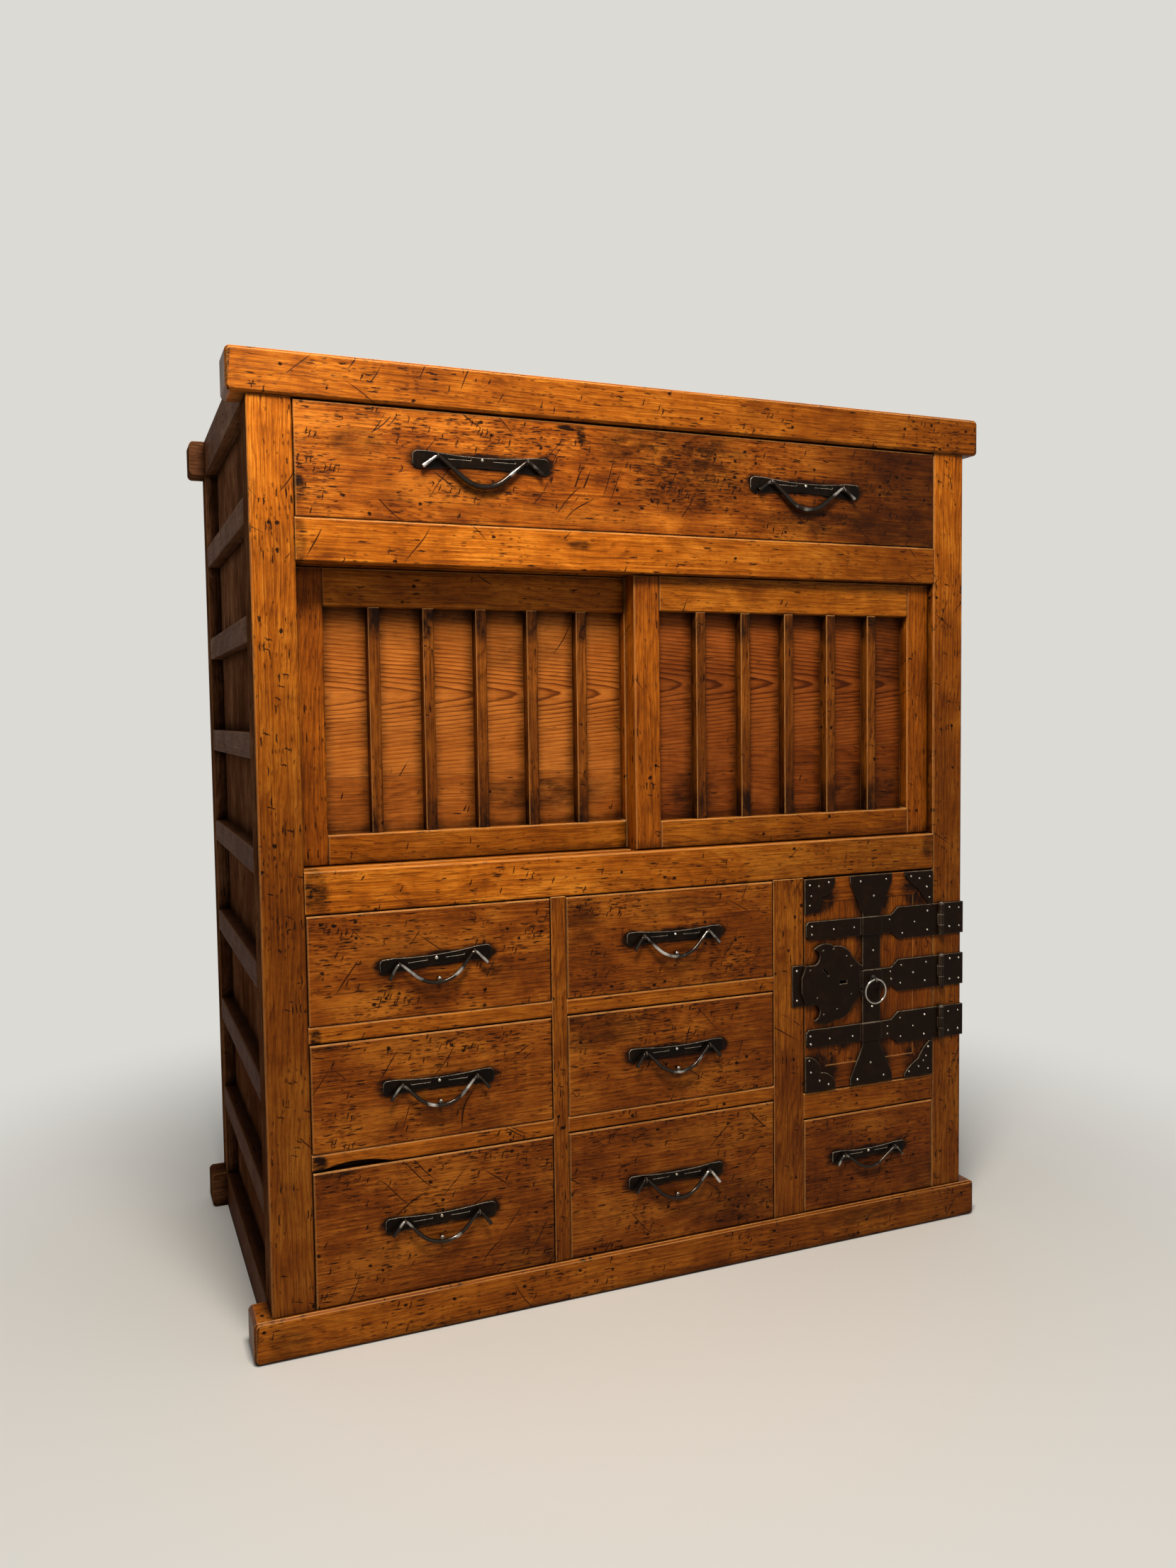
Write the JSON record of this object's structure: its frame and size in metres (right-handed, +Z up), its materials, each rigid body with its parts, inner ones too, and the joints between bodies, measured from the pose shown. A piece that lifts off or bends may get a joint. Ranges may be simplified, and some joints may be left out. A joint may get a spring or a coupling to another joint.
{
  "type": "merchant chest",
  "caption": "Upright wooden merchant's chest with a wide top drawer, latticed sliding doors, stacked drawers and an iron-bound hinged safe door.",
  "frame": {"origin": "on the floor, in the middle of the case's footprint, seen from above", "axes": "+Z up, +Y from the front to the back, +X to the right as the front is seen"},
  "size_m": [0.956, 0.5094, 1.0695],
  "materials": {
    "frame_wood": "amber lacquer over zelkova, worn and dented",
    "drawer_wood": "amber lacquer on the fronts, plain paulownia boxes behind",
    "door_wood": "reddish amber lacquer",
    "slat_wood": "darkened lacquer, worn black at the ends",
    "panel_wood": "thin clear lacquer over figured grain",
    "side_wood": "dark brown satin lacquer",
    "case_wood": "plain unfinished paulownia",
    "black_iron": "forged and blackened, satin",
    "worn_iron": "forged, handled bright on the high spots",
    "bright_steel": "bare bright wire"
  },
  "bodies": {
    "cabinet": {"front_post_left": "frame_wood", "front_post_right": "frame_wood", "rear_posts": "side_wood", "top_front_rail": "frame_wood", "base_front_rail": "frame_wood", "rear_rails": "side_wood", "upper_cross_rail": "frame_wood", "middle_cross_rail": "frame_wood", "divider_stiles": "frame_wood", "bay_rails": "frame_wood", "side_rails": "side_wood", "side_battens": "side_wood", "side_panels": "side_wood", "back_boards": "case_wood", "top_boards": "case_wood", "shelf_boards": "case_wood", "bay_partitions": "case_wood", "dust_boards": "case_wood", "drawer_guides": "case_wood", "hinge_post_plates": "black_iron", "hinge_pins": "worn_iron", "strike_plate": "black_iron"},
    "left_drawer_high": {"left_drawer_high": "drawer_wood", "left_drawer_high_irons": "black_iron"},
    "left_drawer_high_bail": {"left_drawer_high_bail": "worn_iron"},
    "left_drawer_middle": {"left_drawer_middle": "drawer_wood", "left_drawer_middle_irons": "black_iron"},
    "left_drawer_middle_bail": {"left_drawer_middle_bail": "worn_iron"},
    "left_drawer_low": {"left_drawer_low": "drawer_wood", "left_drawer_low_irons": "black_iron"},
    "left_drawer_low_bail": {"left_drawer_low_bail": "worn_iron"},
    "middle_drawer_high": {"middle_drawer_high": "drawer_wood", "middle_drawer_high_irons": "black_iron"},
    "middle_drawer_high_bail": {"middle_drawer_high_bail": "worn_iron"},
    "middle_drawer_middle": {"middle_drawer_middle": "drawer_wood", "middle_drawer_middle_irons": "black_iron"},
    "middle_drawer_middle_bail": {"middle_drawer_middle_bail": "worn_iron"},
    "middle_drawer_low": {"middle_drawer_low": "drawer_wood", "middle_drawer_low_irons": "black_iron"},
    "middle_drawer_low_bail": {"middle_drawer_low_bail": "worn_iron"},
    "small_drawer": {"small_drawer": "drawer_wood", "small_drawer_irons": "black_iron"},
    "small_drawer_bail": {"small_drawer_bail": "worn_iron"},
    "top_drawer": {"top_drawer": "drawer_wood", "top_drawer_irons": "black_iron"},
    "top_bail_left": {"top_bail_left": "worn_iron"},
    "top_bail_right": {"top_bail_right": "worn_iron"},
    "left_sliding_door": {"left_door_frame": "door_wood", "left_door_slats": "slat_wood", "left_door_panel": "panel_wood"},
    "right_sliding_door": {"right_door_frame": "door_wood", "right_door_slats": "slat_wood", "right_door_panel": "panel_wood"},
    "safe_door": {"safe_door_leaf": "door_wood", "safe_door_irons": "black_iron", "safe_lock": "black_iron", "ring_staple": "black_iron"},
    "lock_bolt": {"safe_lock_bolt": "black_iron"},
    "ring_pull": {"ring_pull": "bright_steel"}
  },
  "joints": [
    {"name": "left_drawer_high_slide", "type": "slide", "parent": "cabinet", "child": "left_drawer_high", "axis": [0, -1, 0], "range_m": [0, 0.3]},
    {"name": "left_drawer_high_bail_pivot", "type": "hinge", "parent": "left_drawer_high", "child": "left_drawer_high_bail", "pos_m": [-0.26915, -0.251, 0.42185], "axis": [-0.9962, 0, -0.0872], "range_deg": [0, 150]},
    {"name": "left_drawer_middle_slide", "type": "slide", "parent": "cabinet", "child": "left_drawer_middle", "axis": [0, -1, 0], "range_m": [0, 0.3]},
    {"name": "left_drawer_middle_bail_pivot", "type": "hinge", "parent": "left_drawer_middle", "child": "left_drawer_middle_bail", "pos_m": [-0.26865, -0.251, 0.28325], "axis": [-1, 0, 0], "range_deg": [0, 150]},
    {"name": "left_drawer_low_slide", "type": "slide", "parent": "cabinet", "child": "left_drawer_low", "axis": [0, -1, 0], "range_m": [0, 0.3]},
    {"name": "left_drawer_low_bail_pivot", "type": "hinge", "parent": "left_drawer_low", "child": "left_drawer_low_bail", "pos_m": [-0.26915, -0.251, 0.12805], "axis": [-0.999, 0, 0.0436], "range_deg": [0, 150]},
    {"name": "middle_drawer_high_slide", "type": "slide", "parent": "cabinet", "child": "middle_drawer_high", "axis": [0, -1, 0], "range_m": [0, 0.3]},
    {"name": "middle_drawer_high_bail_pivot", "type": "hinge", "parent": "middle_drawer_high", "child": "middle_drawer_high_bail", "pos_m": [0.02775, -0.251, 0.42375], "axis": [-1, 0, 0], "range_deg": [0, 150]},
    {"name": "middle_drawer_middle_slide", "type": "slide", "parent": "cabinet", "child": "middle_drawer_middle", "axis": [0, -1, 0], "range_m": [0, 0.3]},
    {"name": "middle_drawer_middle_bail_pivot", "type": "hinge", "parent": "middle_drawer_middle", "child": "middle_drawer_middle_bail", "pos_m": [0.02855, -0.251, 0.28285], "axis": [-1, 0, 0], "range_deg": [0, 150]},
    {"name": "middle_drawer_low_slide", "type": "slide", "parent": "cabinet", "child": "middle_drawer_low", "axis": [0, -1, 0], "range_m": [0, 0.3]},
    {"name": "middle_drawer_low_bail_pivot", "type": "hinge", "parent": "middle_drawer_low", "child": "middle_drawer_low_bail", "pos_m": [0.02675, -0.251, 0.12735], "axis": [-0.9994, 0, 0.0349], "range_deg": [0, 150]},
    {"name": "small_drawer_slide", "type": "slide", "parent": "cabinet", "child": "small_drawer", "axis": [0, -1, 0], "range_m": [0, 0.3]},
    {"name": "small_drawer_bail_pivot", "type": "hinge", "parent": "small_drawer", "child": "small_drawer_bail", "pos_m": [0.308, -0.251, 0.11395], "axis": [-1, 0, 0], "range_deg": [-4, 150]},
    {"name": "top_drawer_slide", "type": "slide", "parent": "cabinet", "child": "top_drawer", "axis": [0, -1, 0], "range_m": [0, 0.3]},
    {"name": "top_bail_left_pivot", "type": "hinge", "parent": "top_drawer", "child": "top_bail_left", "pos_m": [-0.2054, -0.251, 0.9717], "axis": [-1, 0, 0], "range_deg": [-4, 150]},
    {"name": "top_bail_right_pivot", "type": "hinge", "parent": "top_drawer", "child": "top_bail_right", "pos_m": [0.2143, -0.251, 0.969], "axis": [-0.9996, 0, 0.0279], "range_deg": [-4, 150]},
    {"name": "left_sliding_door_slide", "type": "slide", "parent": "cabinet", "child": "left_sliding_door", "axis": [1, 0, 0], "range_m": [0, 0.394]},
    {"name": "right_sliding_door_slide", "type": "slide", "parent": "cabinet", "child": "right_sliding_door", "axis": [-1, 0, 0], "range_m": [0, 0.394]},
    {"name": "safe_door_hinge", "type": "hinge", "parent": "cabinet", "child": "safe_door", "pos_m": [0.422, -0.2494, 0.34195], "axis": [0, 0, 1], "range_deg": [0, 170]},
    {"name": "lock_bolt_slide", "type": "slide", "parent": "safe_door", "child": "lock_bolt", "axis": [-1, 0, 0], "range_m": [0, 0.01]},
    {"name": "ring_pull_pivot", "type": "hinge", "parent": "safe_door", "child": "ring_pull", "pos_m": [0.3122, -0.256, 0.34195], "axis": [-1, 0, 0], "range_deg": [-8, 150]}
  ]
}
